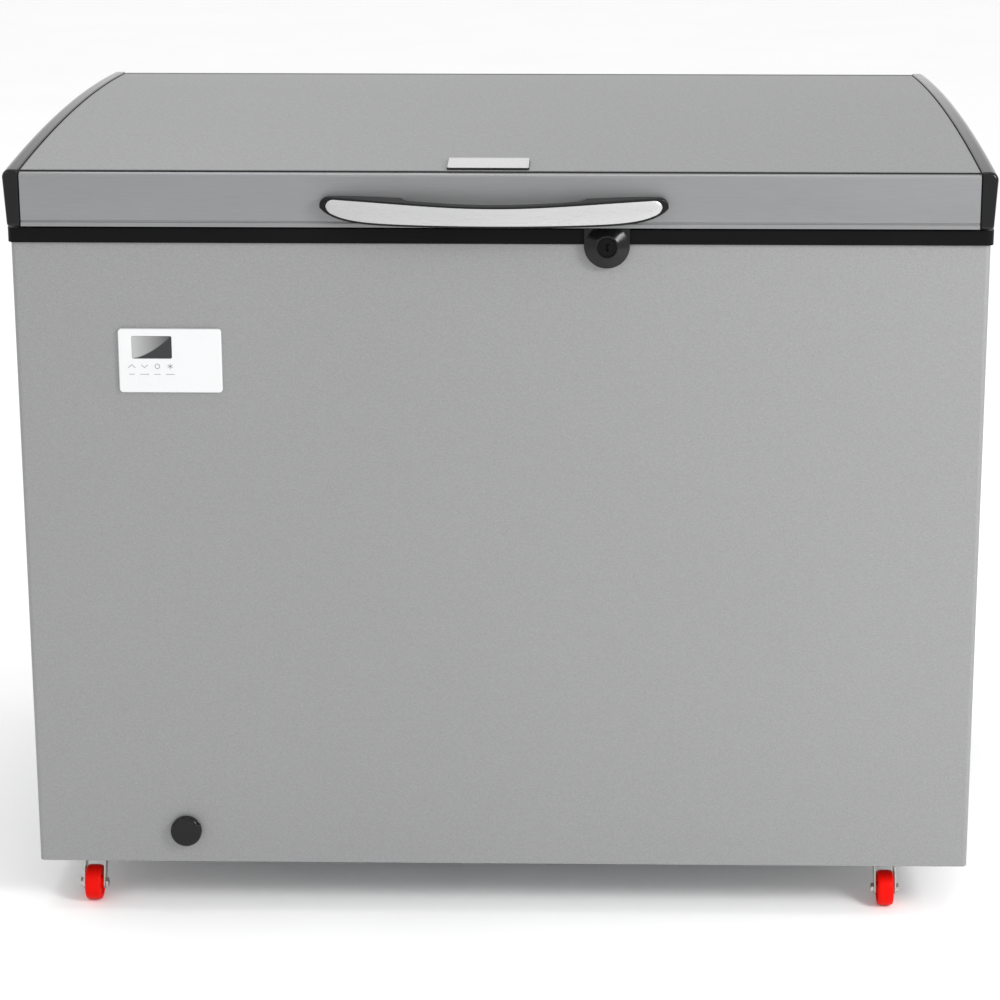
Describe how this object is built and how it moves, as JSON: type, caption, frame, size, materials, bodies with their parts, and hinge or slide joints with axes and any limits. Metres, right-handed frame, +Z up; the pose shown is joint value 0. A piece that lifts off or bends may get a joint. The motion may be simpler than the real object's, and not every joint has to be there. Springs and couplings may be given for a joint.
{
  "type": "chest freezer",
  "caption": "Grey hard-top chest freezer with a cambered foam lid, black bow handle, key lock, control plate, defrost drain and swivel casters.",
  "frame": {"origin": "on the floor under the middle of the machine's bounding box, lid closed", "axes": "+Z up, the front with handle and controls faces -Y, +X to the right seen from the front"},
  "size_m": [1.058, 0.764, 0.8715],
  "materials": {
    "cabinet_paint": "fine metallic grey paint",
    "lid_paint": "fine metallic grey paint",
    "fascia_grey": "satin metallic grey",
    "black_gloss": "gloss",
    "black_satin": "satin",
    "zinc_sheet": "galvanised sheet",
    "zinc_plated": "bright zinc plating",
    "spring_steel": "dark spring steel",
    "foam": "rigid foam",
    "liner_white": "white coated sheet",
    "white_plastic": "gloss",
    "silver_satin": "satin metallic silver",
    "smoked_window": "gloss",
    "clear_lens": "frosted",
    "gasket_grey": "soft matt",
    "rubber_black": "matt",
    "copper": "drawn copper",
    "pot_black": "semi-gloss enamel",
    "wire_white": "plastic-coated wire",
    "wheel_red": "satin"
  },
  "bodies": {
    "cabinet": {"front_panel": "cabinet_paint", "left_side_panel": "cabinet_paint", "right_side_panel": "cabinet_paint", "rear_panel": "zinc_sheet", "base_pan": "zinc_sheet", "compressor_tray": "zinc_sheet", "cabinet_foam": "foam", "inner_liner": "liner_white", "top_frame": "black_satin", "throat_trim": "white_plastic", "evaporator_tube": "copper", "condenser_tube": "copper", "compressor": "pot_black", "compressor_grommets": "rubber_black", "relay_cover": "black_satin", "refrigerant_lines": "copper", "filter_drier": "copper", "side_grille": "black_satin", "rear_service_cover": "zinc_sheet", "control_fascia": "white_plastic", "display_window": "smoked_window", "lock_housing": "black_gloss", "drain_spout": "black_satin", "drain_tube": "white_plastic", "hinge_brackets": "zinc_plated", "hinge_pins": "zinc_plated", "hinge_springs": "spring_steel", "cabinet_screws": "zinc_plated", "cord_gland": "black_satin", "caster_plates": "zinc_plated"},
    "lid": {"lid_top_skin": "lid_paint", "lid_front_fascia": "fascia_grey", "lid_side_trims": "black_gloss", "lid_rear_trim": "black_satin", "lid_foam": "foam", "lid_inner_panel": "white_plastic", "lid_gasket": "gasket_grey", "handle_base": "black_gloss", "handle_insert": "silver_satin", "badge_plate": "silver_satin", "lamp_lens": "clear_lens", "hinge_arms": "zinc_plated"},
    "lock": {"lock_cylinder": "black_satin", "lock_cam": "zinc_plated"},
    "drain_cap": {"drain_cap": "black_gloss"},
    "liner_drain_plug": {"liner_drain_plug": "white_plastic"},
    "basket": {"basket_floor": "wire_white", "basket_walls": "wire_white"},
    "swivel_front_left": {"caster_fork_front_left": "zinc_plated", "caster_axle_front_left": "zinc_plated"},
    "wheel_front_left": {"caster_wheel_front_left": "wheel_red"},
    "swivel_front_right": {"caster_fork_front_right": "zinc_plated", "caster_axle_front_right": "zinc_plated"},
    "wheel_front_right": {"caster_wheel_front_right": "wheel_red"},
    "swivel_rear_left": {"caster_fork_rear_left": "zinc_plated", "caster_axle_rear_left": "zinc_plated"},
    "wheel_rear_left": {"caster_wheel_rear_left": "wheel_red"},
    "swivel_rear_right": {"caster_fork_rear_right": "zinc_plated", "caster_axle_rear_right": "zinc_plated"},
    "wheel_rear_right": {"caster_wheel_rear_right": "wheel_red"}
  },
  "joints": [
    {"name": "lid_hinge", "type": "hinge", "parent": "cabinet", "child": "lid", "pos_m": [0, 0.37, 0.784], "axis": [-1, 0, 0], "range_deg": [0, 85]},
    {"name": "lock_turn", "type": "hinge", "parent": "cabinet", "child": "lock", "pos_m": [0.115, -0.344, 0.778], "axis": [0, -1, 0], "range_deg": [0, 90]},
    {"name": "drain_cap_pull", "type": "slide", "parent": "cabinet", "child": "drain_cap", "axis": [0, -1, 0], "range_m": [0, 0.02]},
    {"name": "liner_plug_lift", "type": "slide", "parent": "cabinet", "child": "liner_drain_plug", "axis": [0, 0, 1], "range_m": [0, 0.03]},
    {"name": "basket_slide", "type": "slide", "parent": "cabinet", "child": "basket", "axis": [1, 0, 0], "range_m": [0, 0.6]},
    {"name": "swivel_front_left", "type": "hinge", "parent": "cabinet", "child": "swivel_front_left", "pos_m": [-0.47, -0.286, 0.055], "axis": [0, 0, 1], "continuous": true},
    {"name": "roll_front_left", "type": "hinge", "parent": "swivel_front_left", "child": "wheel_front_left", "pos_m": [-0.47, -0.301, 0.02], "axis": [1, 0, 0], "continuous": true},
    {"name": "swivel_front_right", "type": "hinge", "parent": "cabinet", "child": "swivel_front_right", "pos_m": [0.437, -0.286, 0.055], "axis": [0, 0, 1], "continuous": true},
    {"name": "roll_front_right", "type": "hinge", "parent": "swivel_front_right", "child": "wheel_front_right", "pos_m": [0.437, -0.301, 0.02], "axis": [1, 0, 0], "continuous": true},
    {"name": "swivel_rear_left", "type": "hinge", "parent": "cabinet", "child": "swivel_rear_left", "pos_m": [-0.47, 0.304, 0.055], "axis": [0, 0, 1], "continuous": true},
    {"name": "roll_rear_left", "type": "hinge", "parent": "swivel_rear_left", "child": "wheel_rear_left", "pos_m": [-0.47, 0.289, 0.02], "axis": [1, 0, 0], "continuous": true},
    {"name": "swivel_rear_right", "type": "hinge", "parent": "cabinet", "child": "swivel_rear_right", "pos_m": [0.437, 0.304, 0.055], "axis": [0, 0, 1], "continuous": true},
    {"name": "roll_rear_right", "type": "hinge", "parent": "swivel_rear_right", "child": "wheel_rear_right", "pos_m": [0.437, 0.289, 0.02], "axis": [1, 0, 0], "continuous": true}
  ]
}
